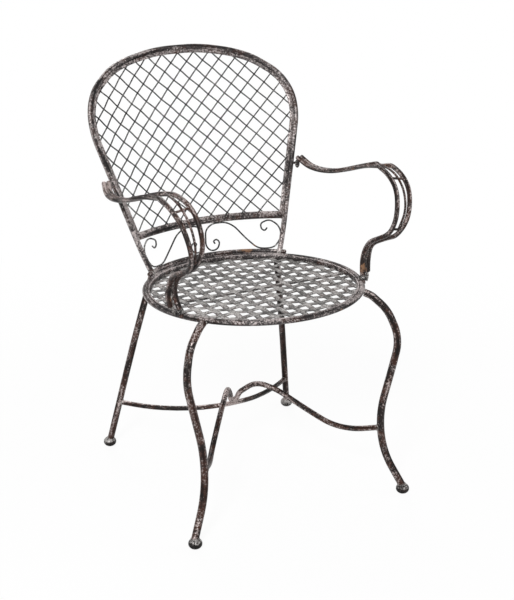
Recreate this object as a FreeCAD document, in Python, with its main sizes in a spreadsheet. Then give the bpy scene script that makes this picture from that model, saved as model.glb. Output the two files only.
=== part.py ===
import FreeCAD, Part
import math
import os

from FreeCAD import Placement, Rotation, Vector

# Round garden armchair of bent steel tube and rod, in millimetres.
# +Z is up, the front of the chair faces -Y and the origin is the centre of its footprint.
# Route points are given from the middle of the round seat (x to the side, y to the back)
# and from the ground (z). The right half is drawn and the left half is its mirror image.

doc = FreeCAD.newDocument("garden_armchair")


# Driving dimensions

SIZES = {
    "seat_centre_y": -73.3,
    "seat_level": 448.0,
    "seat_tilt": 2.42,
    "chord_sag": 1.1,
    "rim_radius": 230.0,
    "rim_tube": 6.0,
    "band_depth": 12.0,
    "band_thick": 4.0,
    "band_top": 4.0,
    "strip_pitch": 30.0,
    "strip_width": 17.0,
    "strip_thick": 2.0,
    "strip_level": -5.0,
    "rail_rod": 5.0,
    "rail_sweep": 90.0,
    "hoop_tube": 6.0,
    "crossbar_level": 522.5,
    "crossbar_y": 246.0,
    "crossbar_sag": 45.5,
    "crossbar_half": 183.5,
    "crossbar_tube": 5.0,
    "frame_width": 8.0,
    "frame_thick": 3.0,
    "frame_sunk": 0.5,
    "mesh_overlap": 1.0,
    "mesh_half": 19.3,
    "mesh_wire": 1.1,
    "scroll_wire": 1.8,
    "front_leg_tube": 8.0,
    "rear_leg_tube": 7.5,
    "foot_ball": 14.5,
    "foot_rise": 11.4,
    "foot_lift": 11.0,
    "front_stretcher_rod": 6.0,
    "rear_stretcher_rod": 5.5,
    "arm_rod": 5.0,
    "arm_thin_rod": 2.4,
    "arm_link_rod": 2.5,
    "arm_spread": 5.2,
    "arm_pin_rod": 2.8,
    "arm_pin_ball": 5.4,
    "arm_pin_rise": 10.0,
    "collar_nut": 8.0,
    "collar_nut_depth": 8.0,
    "collar_washer": 9.0,
    "collar_washer_depth": 2.0,
}

sheet = doc.addObject("Spreadsheet::Sheet", "Sizes")
for row, (alias, value) in enumerate(SIZES.items(), start=1):
    sheet.set("A%d" % row, alias)
    sheet.set("B%d" % row, str(value))
    sheet.setAlias("B%d" % row, alias)
doc.recompute()


def size(alias):
    return float(sheet.get(alias))


def seat_point(x, y, z):
    """A point given from the middle of the seat, in the chair's frame."""
    return Vector(x, y + size("seat_centre_y"), z)


# Routes, tubes and joints

# A regular polygon of this many flats has the round rod's section area at circumradius r * area_factor.
RIM_SIDES = 12
TUBE_SIDES = 10
ROD_SIDES = 8
WIRE_SIDES = 6

# The round seat is a ring of this many chords.
RING_SIDES = 40


def area_factor(sides):
    return math.sqrt(2 * math.pi / (sides * math.sin(2 * math.pi / sides)))


def rounded_route(points):
    """Straight runs joined by tangent arcs, each as large as its two runs allow."""
    edges = []
    last = points[0]
    for before, corner, after in zip(points, points[1:], points[2:]):
        back = before - corner
        ahead = after - corner
        setback = 0.48 * min(back.Length, ahead.Length)
        back.normalize()
        ahead.normalize()
        half_turn = (math.pi - back.getAngle(ahead)) / 2
        radius = setback / math.tan(half_turn)
        inward = back + ahead
        inward.normalize()
        start = corner + back * setback
        end = corner + ahead * setback
        middle = corner + inward * (math.hypot(setback, radius) - radius)
        edges.append(Part.LineSegment(last, start).toShape())
        edges.append(Part.Arc(start, middle, end).toShape())
        last = end
    edges.append(Part.LineSegment(last, points[-1]).toShape())
    return Part.Wire(edges)


def chords(route, least):
    """Points along a route whose chords keep within the sheet's sag; none closer than least."""
    points = []
    for edge in route.Edges:
        steps = 1
        if edge.Curve.TypeId == "Part::GeomCircle":
            turn = edge.LastParameter - edge.FirstParameter
            steps = math.ceil(turn / math.sqrt(8 * size("chord_sag") / edge.Curve.Radius))
        for step in range(steps):
            share = step / steps
            point = edge.valueAt(edge.FirstParameter * (1 - share) + edge.LastParameter * share)
            if not points or point.distanceToPoint(points[-1]) > least:
                points.append(point)
    final = route.Edges[-1].valueAt(route.Edges[-1].LastParameter)
    if final.distanceToPoint(points[-1]) < least:
        points.pop()
    return points + [final]


def mirrored_route(half):
    """The points of a route that crosses the middle plane, from its right half."""
    return half + [(-x, y, z) for x, y, z in reversed(half)]


def swept(name, route, rod, sides):
    """A rod of many flats, mitred along the chords of a route; rod is the sheet's name of its radius."""
    points = chords(route, size(rod) * 1.5)
    spine = doc.addObject("Part::Feature", name + "_route")
    spine.Shape = Part.makePolygon(points)
    section = doc.addObject("Part::RegularPolygon", name + "_section")
    section.Polygon = sides
    section.setExpression("Circumradius", "Sizes.%s * %.5f" % (rod, area_factor(sides)))
    section.Placement = Placement(points[0], Rotation(Vector(0, 0, 1), points[1] - points[0]))
    body = doc.addObject("Part::Sweep", name)
    body.Sections = [section]
    body.Spine = (spine, ["Edge%d" % (i + 1) for i in range(len(points) - 1)])
    body.Solid = True
    body.Frenet = False
    body.Transition = "Right corner"
    return body


def tube(name, points, rod, sides=TUBE_SIDES):
    return swept(name, rounded_route([seat_point(*point) for point in points]), rod, sides)


def coped(name, body, neighbours):
    """The body with its ends shaped to the pieces that it is welded to."""
    for number, neighbour in enumerate(neighbours, start=1):
        cut = doc.addObject("Part::Cut", "%s_cope_%d" % (name, number))
        cut.Base = body
        cut.Tool = neighbour
        body = cut
    return body


def mirrored(name, body):
    other = doc.addObject("Part::Mirroring", name)
    other.Source = body
    other.Normal = Vector(1, 0, 0)
    other.Base = Vector(0, 0, 0)
    return other


pieces = []


def piece(label, body):
    body.Label = label
    pieces.append(body)
    return body


def pair(label, body):
    """A piece on the right (+X) and its mirror image on the left."""
    piece(label + "_right", body)
    piece(label + "_left", mirrored(label + "_mirror", body))
    return body


def set_on_seat(body):
    """Places a body that is drawn flat about the seat's centre into the tilted seat plane."""
    body.Placement = Placement(Vector(0, 0, 0), Rotation(Vector(-1, 0, 0), 1))
    body.setExpression("Placement.Base.y", "Sizes.seat_centre_y")
    body.setExpression("Placement.Base.z", "Sizes.seat_level")
    body.setExpression("Placement.Rotation.Angle", "Sizes.seat_tilt")
    return body


# Seat: rim tube, inner band, woven strips and the rail behind the rim

def ring(name, radius, level, rod, sides, sweep=360.0, start=0.0):
    """A rod bent round the seat's centre, drawn flat and set on the tilted seat."""
    steps = round(RING_SIDES * sweep / 360.0)
    points = []
    for step in range(steps + 1):
        angle = math.radians(start + sweep * step / steps)
        points.append(Vector(radius * math.cos(angle), radius * math.sin(angle), level))
    sections = []
    for point in points[:-1] if sweep == 360.0 else points:
        outward = Vector(point.x, point.y, 0)
        outward.normalize()
        corners = []
        for corner in range(sides):
            turn = 2 * math.pi * corner / sides
            reach = size(rod) * area_factor(sides)
            corners.append(point + outward * (reach * math.cos(turn)) + Vector(0, 0, reach * math.sin(turn)))
        sections.append(Part.makePolygon(corners + corners[:1]))
    body = doc.addObject("Part::Feature", name)
    body.Shape = Part.makeLoft(sections, True, True, sweep == 360.0)
    return set_on_seat(body)


rim = piece("seat_rim", ring("rim", size("rim_radius"), 0.0, "rim_tube", RIM_SIDES))

# The rail's flat lies on the rim's, 45 degrees up and out.
flat_reach = area_factor(RIM_SIDES) * math.cos(math.pi / RIM_SIDES) * math.cos(math.radians(45))
rail_offset = (size("rim_tube") + size("rail_rod")) * flat_reach
rail = piece("seat_rail", ring("rail", size("rim_radius") + rail_offset, rail_offset, "rail_rod",
                               RIM_SIDES, size("rail_sweep"), 90 - size("rail_sweep") / 2))


def seat_disc(name, reach, height, foot):
    """A flat disc about the seat's centre with the rim's own flats; the sizes are expressions."""
    disc = doc.addObject("Part::Prism", name)
    disc.Polygon = RING_SIDES
    disc.setExpression("Circumradius", reach)
    disc.setExpression("Height", height)
    disc.setExpression("Placement.Base.z", foot)
    return disc


BAND_OUTSIDE = "Sizes.rim_radius - Sizes.rim_tube"
BAND_INSIDE = "Sizes.rim_radius - Sizes.rim_tube - Sizes.band_thick"
BAND_FOOT = "Sizes.band_top - Sizes.band_depth"

seat_band = doc.addObject("Part::Cut", "seat_band_ring")
seat_band.Base = seat_disc("band_disc", BAND_OUTSIDE, "Sizes.band_depth", BAND_FOOT)
seat_band.Tool = seat_disc("band_hole", BAND_INSIDE, "Sizes.band_depth", BAND_FOOT)
piece("seat_band", set_on_seat(seat_band))


def strip_outline(phase, offset):
    """The side view of a woven strip along X: over one cross strip, under the next."""
    pitch = size("strip_pitch")
    half_flat = size("strip_width") / 2
    thick = size("strip_thick")
    rise = thick / 2
    count = int(size("rim_radius") / pitch)
    top = []
    for step in range(-count - 1, count + 1):
        middle = (step + offset) * pitch
        level = rise if (step + phase) % 2 else -rise
        top.append(Vector(middle - half_flat, 0, level + thick / 2))
        top.append(Vector(middle + half_flat, 0, level + thick / 2))
    down = Vector(0, 0, -thick)
    bottom = [point + down for point in reversed(top)]
    return Part.makePolygon(top + bottom + top[:1])


def woven_strips(name, positions, direction):
    """One set of parallel strips, cut to the inside of the band."""
    strips = []
    for number, position in enumerate(positions):
        outline = doc.addObject("Part::Feature", "%s_outline_%d" % (name, number + 1))
        outline.Shape = strip_outline(number % 2, 0.5 if direction == "across" else 0.0)
        strip = doc.addObject("Part::Extrusion", "%s_%d" % (name, number + 1))
        strip.Base = outline
        strip.DirMode = "Custom"
        strip.Dir = Vector(0, 1, 0)
        strip.Solid = True
        strip.Symmetric = True
        strip.setExpression("LengthFwd", "Sizes.strip_width")
        if direction == "across":
            strip.Placement = Placement(Vector(0, position, size("strip_level")), Rotation())
        else:
            strip.Placement = Placement(Vector(position, 0, size("strip_level")), Rotation(Vector(0, 0, 1), 90))
        strips.append(strip)
    bundle = doc.addObject("Part::Compound", name + "_bundle")
    bundle.Links = strips
    inside = seat_disc(name + "_inside", BAND_INSIDE, "Sizes.band_depth", BAND_FOOT)
    trimmed = doc.addObject("Part::Common", name + "_trimmed")
    trimmed.Base = bundle
    trimmed.Tool = inside
    return set_on_seat(trimmed)


pitch = size("strip_pitch")
piece("seat_strips_across", woven_strips("across", [n * pitch for n in range(-7, 8)], "across"))
piece("seat_strips_lengthwise", woven_strips("lengthwise", [(n + 0.5) * pitch for n in range(-7, 7)], "lengthwise"))


# Back: hoop, crossbar, flat mesh frame, wire mesh and scrolls

HOOP = [(158, 177, 447), (175.5, 192, 495), (222.5, 239, 658.5), (247, 264.5, 743.5), (246.5, 285, 790),
        (226, 312.5, 831), (175, 346, 866), (128, 362, 881.5), (52, 376, 895)]

hoop_tube = tube("hoop", mirrored_route(HOOP), "hoop_tube")
hoop = piece("back_hoop", coped("hoop", hoop_tube, [rim, rail]))


def level_arc(half, side_y, middle_y, level):
    """A wire bowed to the back at one level."""
    arc = Part.Arc(seat_point(half, side_y, level), seat_point(0, middle_y, level), seat_point(-half, side_y, level))
    return Part.Wire([arc.toShape()])


crossbar_route = level_arc(size("crossbar_half"), size("crossbar_y") - size("crossbar_sag"),
                           size("crossbar_y"), size("crossbar_level"))
crossbar_rod = swept("crossbar", crossbar_route, "crossbar_tube", TUBE_SIDES)
piece("back_crossbar", coped("crossbar", crossbar_rod, [hoop_tube]))


def back_y(x, z):
    """The back's surface: it leans, bows a little with height and is hollow from side to side."""
    height = (z - 700.0) / 200.0
    lean = 303.7 + 73.0 * height + 3.5 * height * height
    return lean - x * x * (0.955 - 0.258 * height) / 1000.0


def back_normal(x, z):
    """The unit normal of the back's surface, towards the sitter."""
    step = 1.0
    across = (back_y(x + step, z) - back_y(x - step, z)) / (2 * step)
    rise = (back_y(x, z + step) - back_y(x, z - step)) / (2 * step)
    normal = Vector(across, -1.0, rise)
    normal.normalize()
    return normal


def strap(stations):
    """A flat bar through rectangles, each given by its middle, its half width and its half thickness."""
    sections = []
    for middle, half_width, half_thick in stations:
        corners = [middle + half_width + half_thick, middle + half_width - half_thick,
                   middle - half_width - half_thick, middle - half_width + half_thick]
        sections.append(Part.makePolygon(corners + corners[:1]))
    return Part.makeLoft(sections, True, True)


def mesh_frame_arch():
    """The flat bar along the inside of the hoop, square to the back's surface."""
    route = rounded_route([seat_point(*point) for point in mirrored_route(HOOP)])
    width = size("frame_width")
    stations = []
    for point in route.discretize(Number=32):
        x, y, z = point
        if z < size("crossbar_level") - 1:
            continue
        stations.append(point)
    inset = size("hoop_tube") - size("frame_sunk") + width / 2
    result = []
    for number, point in enumerate(stations):
        before = stations[max(number - 1, 0)]
        after = stations[min(number + 1, len(stations) - 1)]
        run = after - before
        run.normalize()
        normal = back_normal(point.x, point.z)
        inward = run.cross(normal)
        inward.normalize()
        if inward.dot(Vector(0, 0, 700) - Vector(point.x, 0, point.z)) < 0:
            inward = -inward
        facing = inward.cross(run)
        facing.normalize()
        result.append((point + inward * inset, inward * (width / 2), facing * (size("frame_thick") / 2)))
    return strap(result)


def mesh_frame_sill():
    """The flat bar that stands on the crossbar."""
    width = size("frame_width")
    level = size("crossbar_level") + size("crossbar_tube") - size("frame_sunk") + width / 2
    half = size("crossbar_half") - 2
    stations = []
    steps = 6
    for step in range(steps + 1):
        x = half - 2 * half * step / steps
        share = x / size("crossbar_half")
        y = size("crossbar_y") - size("crossbar_sag") * share * share
        lean = back_normal(x, level)
        up = Vector(0, 0, 1) - lean * lean.z
        up.normalize()
        stations.append((seat_point(x, y, level), up * (width / 2), lean * (size("frame_thick") / 2)))
    return strap(stations)


def made(name, shape):
    body = doc.addObject("Part::Feature", name)
    body.Shape = shape
    body.Placement = Placement()
    return body


arch = coped("frame_arch", made("frame_arch_bar", mesh_frame_arch()), [hoop_tube, crossbar_rod])
piece("mesh_frame_arch", arch)
sill = coped("frame_sill", made("frame_sill_bar", mesh_frame_sill()), [crossbar_rod, hoop_tube, arch])
piece("mesh_frame_sill", sill)


# The wires cross at points half a diamond apart; a column of crossings stands on the middle plane.
MESH_TOP = 882.6
MESH_LEAN = math.radians(20.05)


def crossing(column, line):
    """The point of the back's surface at a crossing, counted sideways and down."""
    along = size("mesh_half") * column
    bow = 0.00087
    x = along - 0.667 * bow * bow * along ** 3
    z = MESH_TOP - size("mesh_half") * math.cos(MESH_LEAN) * line
    return x, z


# The wires are welded to the frame's inner edge, which lies this far in from the tubes' middle lines.
WIRE_INSET = size("frame_width") - size("frame_sunk") - size("mesh_overlap")


def mesh_outline():
    """The line on which the wires end inside the hoop, seen from the front."""
    inset = size("hoop_tube") + WIRE_INSET
    route = rounded_route([seat_point(*point) for point in mirrored_route(HOOP)])
    outline = []
    for before, after in zip(route.discretize(Number=80), route.discretize(Number=80)[1:]):
        run = Vector(after.x - before.x, 0, after.z - before.z)
        run.normalize()
        outline.append((before.x - run.z * inset, before.z + run.x * inset))
    return outline


MESH_OUTLINE = mesh_outline()


def inside_frame(x, z):
    """Whether a point of the mesh lies inside the line on which the wires end."""
    if z < size("crossbar_level") + size("crossbar_tube") + WIRE_INSET:
        return False
    inside = False
    for (x1, z1), (x2, z2) in zip(MESH_OUTLINE, MESH_OUTLINE[1:]):
        if (z1 > z) != (z2 > z) and x < x1 + (z - z1) * (x2 - x1) / (z2 - z1):
            inside = not inside
    return inside


def frame_meeting(inner, outer, slope, number):
    """The place along a wire, between two lines of crossings, where it meets the frame."""
    for _ in range(20):
        middle = (inner + outer) / 2
        if inside_frame(*crossing(slope * (middle - number), middle)):
            inner = middle
        else:
            outer = middle
    return inner


def mesh_wire(slope, number):
    """One wire, square in section, over one wire of the other set and under the next."""
    reach = size("mesh_wire") * area_factor(4)
    lines = [line for line in range(-2, 24) if inside_frame(*crossing(slope * (line - number), line))]
    if len(lines) < 2:
        return None
    first = frame_meeting(lines[0], lines[0] - 1, slope, number)
    last = frame_meeting(lines[-1], lines[-1] + 1, slope, number)
    sections = []
    for line in [first] + lines + [last]:
        x, z = crossing(slope * (line - number), line)
        normal = back_normal(x, z)
        side = math.cos(math.pi * line) * slope
        place = seat_point(x, back_y(x, z), z)
        next_x, next_z = crossing(slope * (line + 0.1 - number), line + 0.1)
        run = seat_point(next_x, back_y(next_x, next_z), next_z) - place
        run.normalize()
        across = run.cross(normal)
        across.normalize()
        middle = place + normal * (reach * side)
        corners = [middle + normal * reach, middle + across * reach,
                   middle - normal * reach, middle - across * reach]
        sections.append(Part.makePolygon(corners + corners[:1]))
    return Part.makeLoft(sections, True, True)


def mesh_wires(slope):
    """One set of parallel wires; every second line of the grid carries one."""
    wires = [mesh_wire(slope, number) for number in range(-20, 42, 2)]
    return Part.makeCompound([wire for wire in wires if wire])


def welded_wires(name, slope):
    """One set of wires, cut to the frame; a shaving left where a wire only grazes the frame is dropped."""
    wires = coped(name, made(name, mesh_wires(slope)), [arch, sill])
    doc.recompute()
    return made(name + "_whole", Part.makeCompound([wire for wire in wires.Shape.Solids if wire.Volume > 1]))


piece("mesh_wires_rising", welded_wires("wires_rising", -1))
piece("mesh_wires_falling", welded_wires("wires_falling", 1))

# The scroll's route in the upright surface between the rail and the crossbar.
SCROLL = [(137, 499), (130, 501), (134, 512), (153, 517), (168, 503), (168, 480), (154, 457),
          (140, 452.4), (116, 452.4), (96, 475), (72, 505), (52, 516.1), (20, 516.1), (3, 503),
          (2, 466), (14, 453), (30, 457), (34, 474), (24, 476)]


def scroll_surface(x, z):
    rail_radius = size("rim_radius") + 7.5
    below = math.sqrt(rail_radius ** 2 - x * x)
    share = x / size("crossbar_half")
    above = size("crossbar_y") - size("crossbar_sag") * share * share
    up = (z - 446.0) / (size("crossbar_level") - 446.0)
    return below + (above - below) * up


scroll = tube("scroll", [(x, scroll_surface(x, z), z) for x, z in SCROLL], "scroll_wire", WIRE_SIDES)
pair("scroll", coped("scroll", scroll, [crossbar_rod, rail]))


# Legs, ball feet and stretchers

FRONT_LEG = [(192, -147.5, 457), (199, -152.5, 446), (228.5, -171, 413.5), (248, -192, 352), (229, -190, 271),
             (208, -185, 185.5), (212.5, -197, 98), (252, -225.5, 11)]
REAR_LEG = [(153.5, 185, 445), (187, 220.5, 283), (235, 277, 11)]


def flat_faced(rings):
    """A closed solid of flat quadrilaterals between rings of points, with a flat face on each end."""
    faces = [Part.Face(Part.makePolygon(ring + ring[:1])) for ring in (rings[0], rings[-1])]
    for lower, upper in zip(rings, rings[1:]):
        for number in range(len(lower)):
            after = (number + 1) % len(lower)
            corners = [lower[number], lower[after], upper[after], upper[number]]
            faces.append(Part.Face(Part.makePolygon(corners + corners[:1])))
    shell = Part.Shell(faces)
    shell.sewShape()
    return Part.Solid(shell)


def turned_ball(name, radius, rise, centre, cut_below, levels, sides):
    """A flattened or drawn-out ball of flats; rise is half its height, cut flat at -cut_below."""
    first = -math.asin(min(1.0, cut_below / rise))
    rings = []
    for level in range(levels + 1):
        latitude = first + (math.radians(80) - first) * level / levels
        ring_radius = radius * math.cos(latitude) * math.sqrt(area_factor(sides))
        corners = []
        for corner in range(sides):
            turn = 2 * math.pi * corner / sides
            corners.append(centre + Vector(ring_radius * math.cos(turn), ring_radius * math.sin(turn),
                                           rise * math.sin(latitude)))
        rings.append(corners)
    return made(name, flat_faced(rings))


def ball_foot(name, x, y):
    """A flattened ball with a small flat where it stands."""
    lift = size("foot_lift")
    return turned_ball(name, size("foot_ball"), size("foot_rise"), seat_point(x, y, lift), lift, 6, 12)


front_foot = ball_foot("front_foot", *FRONT_LEG[-1][:2])
rear_foot = ball_foot("rear_foot", *REAR_LEG[-1][:2])
pair("foot_front", front_foot)
pair("foot_rear", rear_foot)
front_leg_tube = tube("front_leg", FRONT_LEG, "front_leg_tube")
rear_leg_tube = tube("rear_leg", REAR_LEG, "rear_leg_tube")
pair("leg_front", coped("front_leg", front_leg_tube, [rim, front_foot]))
pair("leg_rear", coped("rear_leg", rear_leg_tube, [rim, rail, rear_foot]))

FRONT_STRETCHER = [(208, -190, 152), (172, -135, 131.5), (145, -87, 129), (103.5, -31.5, 158), (65, 16, 188.5),
                   (35, 58, 195.5), (11, 93.5, 160), (7, 99, 142)]

# The rear stretcher is drawn whole, because its left end is welded higher than its right end.
REAR_STRETCHER = [(222, 262.5, 82), (165, 208, 94.5), (112, 166, 106), (62, 130, 119), (22, 103, 132),
                  (-22, 103, 132), (-62, 130, 122), (-112, 166, 115), (-165, 208, 113), (-216.5, 256.5, 117)]

front_stretcher = tube("front_stretcher", mirrored_route(FRONT_STRETCHER), "front_stretcher_rod", ROD_SIDES)
rear_stretcher = tube("rear_stretcher", REAR_STRETCHER, "rear_stretcher_rod", ROD_SIDES)
left_front_leg = mirrored("left_front_leg_tube", front_leg_tube)
left_rear_leg = mirrored("left_rear_leg_tube", rear_leg_tube)
front_stretcher = piece("stretcher_front", coped("front_stretcher", front_stretcher, [front_leg_tube, left_front_leg]))
piece("stretcher_rear", coped("rear_stretcher", rear_stretcher, [rear_leg_tube, left_rear_leg, front_stretcher]))


# Arms: two thick rods side by side along the armrest; a thin one joins them where they part
# and run apart round the front.

ARMREST = [(236.5, 229, 648.5), (244.5, 200, 634.5), (249, 161, 634), (250, 100, 644.5), (251, 38, 664.5),
           (251, -28, 688.5)]


def armrest(offset):
    """The armrest's route moved sideways, so that its two rods touch."""
    return [(x + offset, y, z) for x, y, z in ARMREST]


ARM_OUTER = armrest(size("arm_spread")) + [
    (256, -91, 701), (261, -112.5, 709), (259, -161, 700.5), (252, -201, 675.5), (241, -216.5, 624.5),
    (231, -190, 580.5), (239, -143, 562.5), (230, -93, 537), (234, -78.5, 495.5), (230.5, -84.5, 472.5)]
ARM_INNER = armrest(-size("arm_spread")) + [
    (245, -88, 708), (228.5, -112, 712), (223, -166, 705.5), (220, -202.5, 681), (214.5, -214, 630),
    (218.5, -184, 585), (212, -147, 565), (219.5, -103, 544), (221, -77, 503), (211, -98, 452)]
ARM_MIDDLE = [(241, -97, 710), (241, -130, 710), (240.5, -165, 704), (238, -201, 680.5), (233, -217, 640.5),
              (227.5, -200, 598)]

outer_rod = tube("arm_outer", ARM_OUTER, "arm_rod", ROD_SIDES)
inner_rod = tube("arm_inner", ARM_INNER, "arm_rod", ROD_SIDES)
middle_rod = tube("arm_middle", ARM_MIDDLE, "arm_thin_rod", WIRE_SIDES)
pair("arm_rod_outer", outer_rod)
pair("arm_rod_inner", coped("arm_inner", inner_rod, [rim]))


def straight(name, start, end, rod, sides=ROD_SIDES):
    route = Part.Wire([Part.LineSegment(seat_point(*start), seat_point(*end)).toShape()])
    return swept(name, route, rod, sides)


lower_link = straight("lower_link", (217, -192, 598), (235, -201, 598), "arm_link_rod", WIRE_SIDES)
lower_link = pair("arm_link_lower", coped("lower_link", lower_link, [outer_rod, inner_rod]))
upper_link = straight("upper_link", (222.5, -172, 700), (257, -171.5, 694), "arm_link_rod", WIRE_SIDES)
upper_link = pair("arm_link_upper", coped("upper_link", upper_link, [outer_rod, inner_rod]))
pair("arm_rod_middle", coped("arm_middle", middle_rod, [inner_rod, lower_link, upper_link]))

# A short stub from the hoop carries an upright knob, and the armrest's tip lies on the knob.
arm_pin = straight("arm_pin", (216.5, 235, 636), (231, 229, 636), "arm_pin_rod")
knob = turned_ball("arm_pin_ball", size("arm_pin_ball"), size("arm_pin_rise"), seat_point(231, 229, 634),
                   size("arm_pin_rise") * 0.98, 5, 8)
knob = pair("arm_pin_ball", coped("arm_pin_ball", knob, [inner_rod]))
pair("arm_pin", coped("arm_pin", arm_pin, [hoop_tube, knob]))


# Nut and washer that hold each inner arm rod on the rim

def collar(name, sides, radius, depth_alias, level):
    """A ring round the rod's foot: a nut with six flats or a round washer of many."""
    blank = doc.addObject("Part::Prism", name + "_blank")
    blank.Polygon = sides
    blank.setExpression("Circumradius", "Sizes." + radius)
    blank.setExpression("Height", "Sizes." + depth_alias)
    lean = seat_point(*ARM_INNER[-1]) - seat_point(*ARM_INNER[-2])
    lean.normalize()
    foot = seat_point(*ARM_INNER[-1])
    blank.Placement = Placement(foot - lean * level, Rotation(Vector(0, 0, 1), -lean))
    return blank


washer = collar("collar_washer", TUBE_SIDES, "collar_washer", "collar_washer_depth", 5.5)
nut = collar("collar_nut", 6, "collar_nut", "collar_nut_depth", 7.5)
pair("collar_washer", coped("collar_washer", washer, [rim, inner_rod]))
pair("collar_nut", coped("collar_nut", nut, [inner_rod]))


# Checks and files

doc.recompute()
faults = []
for item in doc.Objects:
    if "Invalid" in item.State or "Error" in item.State:
        faults.append(item.Name)
for body in pieces:
    if body.Shape.isNull() or not body.Shape.isValid() or not body.Shape.Solids:
        faults.append(body.Label)
if faults:
    raise RuntimeError("failed pieces: " + ", ".join(faults))

os.makedirs("parts", exist_ok=True)
for body in pieces:
    body.Shape.exportStep("parts/%s.step" % body.Label)
    print(body.Label, len(body.Shape.Solids), "solids", round(body.Shape.Volume, 1), "mm3")
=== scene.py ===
import math

import bmesh
import bpy
from mathutils import Matrix, Vector, noise
from mathutils.bvhtree import BVHTree


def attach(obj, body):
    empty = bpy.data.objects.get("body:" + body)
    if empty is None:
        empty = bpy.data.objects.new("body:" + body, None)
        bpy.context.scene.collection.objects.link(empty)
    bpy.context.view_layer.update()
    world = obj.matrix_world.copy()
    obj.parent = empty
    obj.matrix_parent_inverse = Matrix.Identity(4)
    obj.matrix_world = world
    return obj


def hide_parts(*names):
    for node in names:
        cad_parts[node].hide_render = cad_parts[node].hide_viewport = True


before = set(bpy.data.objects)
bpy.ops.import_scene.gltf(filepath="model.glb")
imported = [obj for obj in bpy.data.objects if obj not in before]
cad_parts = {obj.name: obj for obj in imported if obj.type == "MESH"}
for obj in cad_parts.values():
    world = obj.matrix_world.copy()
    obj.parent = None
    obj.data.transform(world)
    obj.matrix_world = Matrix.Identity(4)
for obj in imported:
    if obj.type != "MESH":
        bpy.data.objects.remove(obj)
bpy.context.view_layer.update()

# Round garden armchair of bent steel tube and rod under a distressed antique paint.
# Routes are in millimetres from the middle of the round seat, heights from the ground;
# the right half is drawn and the left half is its mirror image.
# Sizes are in millimetres too, and a rod, tube or wire is given by its radius.

SEAT_Y = -73.3
SEAT_LEVEL = 448.0
SEAT_TILT = math.radians(2.42)
RIM_RADIUS = 230.0
RIM_TUBE = 6.0
RAIL_ROD = 5.0
BAND_THICK = 4.0
BAND_TOP = 4.0
BAND_FOOT = -8.0
BAND_EASE = 0.8
STRIP_PITCH = 30.0
STRIP_WIDTH = 13.7
STRIP_THICK = 1.2
STRIP_LEVEL = -5.0
STRIP_EASE = 0.5
STRIP_CREST = 0.62
WEAVE_FLAT = 7.2
BRACE_Y = 3.0
BRACE_WIDTH = 12.0
BRACE_THICK = 3.0
BRACE_DROP = 3.1
HOOP_TUBE = 6.0
CROSSBAR_TUBE = 5.0
CROSSBAR_LEVEL = 522.5
CROSSBAR_Y = 246.0
CROSSBAR_SAG = 45.5
CROSSBAR_HALF = 183.5
FRAME_WIDTH = 8.0
FRAME_THICK = 3.0
FRAME_SUNK = 0.5
MESH_HALF = 19.3
MESH_WIRE = 1.5
MESH_TOP = 882.6
MESH_LEAN = math.radians(20.05)
SCROLL_WIRE = 1.8
SCROLL_FOOT = 446.0
SCROLL_OUT = 7.5
FRONT_LEG_TUBE = 8.0
REAR_LEG_TUBE = 7.5
FOOT_BALL = 14.5
FOOT_RISE = 11.4
FOOT_LIFT = 11.0
FRONT_FOOT_INWARD = 3.0
FRONT_STRETCHER_ROD = 6.0
REAR_STRETCHER_ROD = 5.5
ARM_ROD = 5.0
ARM_THIN_ROD = 2.4
ARM_LINK_ROD = 2.5
ARM_PIN_ROD = 2.8
ARM_PIN_BALL = 5.4
ARM_PIN_RISE = 10.0
ARM_SPREAD = 5.2
ARM_FULLER = 0.85
NUT_FLAT = 7.0
NUT_CORNER = 8.0
NUT_FOOT = 7.5
NUT_TOP = 15.4
NUT_EASE = 0.9
WASHER = [(8.4, 5.5), (8.95, 5.8), (8.95, 7.2), (8.4, 7.5)]

SIDES = ((1, "right"), (-1, "left"))

# The back's surface about a middle level: its depth, its lean and bow with height,
# its hollow from side to side and how much less hollow it gets with height.
BACK_LEVEL = 700.0
BACK_SPAN = 200.0
BACK_DEPTH = 303.7
BACK_LEAN = 73.0
BACK_BOW = 3.5
BACK_HOLLOW = 0.955
BACK_HOLLOW_LOSS = 0.258
MESH_HOLLOW = 0.00087

# In metres: the spacing of points along rods, and the radius of each kind of weld bead.
ROD_STEP = 0.006
SCROLL_STEP = 0.003
LEG_BEAD = 0.0016
TUBE_BEAD = 0.0015
SMALL_BEAD = 0.0013
SEAM_BEAD = 0.0036
STRIP_TACK = 0.0009
WIRE_TACK = 0.0017

# Painted highlight streaks along a rod, carried with the wear: how strong they are, how fast they change round
# the rod and along it, and the radius in metres above which a rod has them.
STREAK = 2.2
STREAK_SPREAD = 1.3
STREAK_SCALE = 14
THICK_ROD = 0.0035

HOOP = [(158, 177, 447), (175.5, 192, 495), (222.5, 239, 658.5), (247, 264.5, 743.5), (246.5, 285, 790),
        (226, 312.5, 831), (175, 346, 866), (128, 362, 881.5), (52, 376, 895)]
SCROLL = [(142, 497.5), (137, 491.5), (130.5, 496), (130, 508), (150, 517), (168, 503), (168, 480), (152, 458),
          (138, 453.5), (118, 453.5), (96, 475), (72, 505), (52, 516.1), (20, 516.1), (3, 503),
          (2, 466), (14, 453), (31, 456), (36, 472), (28, 479.5), (20.5, 475), (24, 470)]
FRONT_LEG = [(187, -144, 450), (199, -152.5, 444.5), (228.5, -171, 413.5), (248, -192, 352), (229, -190, 271),
             (208, -185, 185.5), (212.5, -197, 98), (252, -225.5, 11)]
REAR_LEG = [(153.5, 185, 445), (187, 220.5, 283), (235, 277, 11)]
FRONT_STRETCHER = [(208, -190, 152), (172, -135, 131.5), (145, -87, 129), (103.5, -31.5, 158), (65, 16, 188.5),
                   (35, 58, 195.5), (11, 93.5, 160), (7, 99, 142)]
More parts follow.
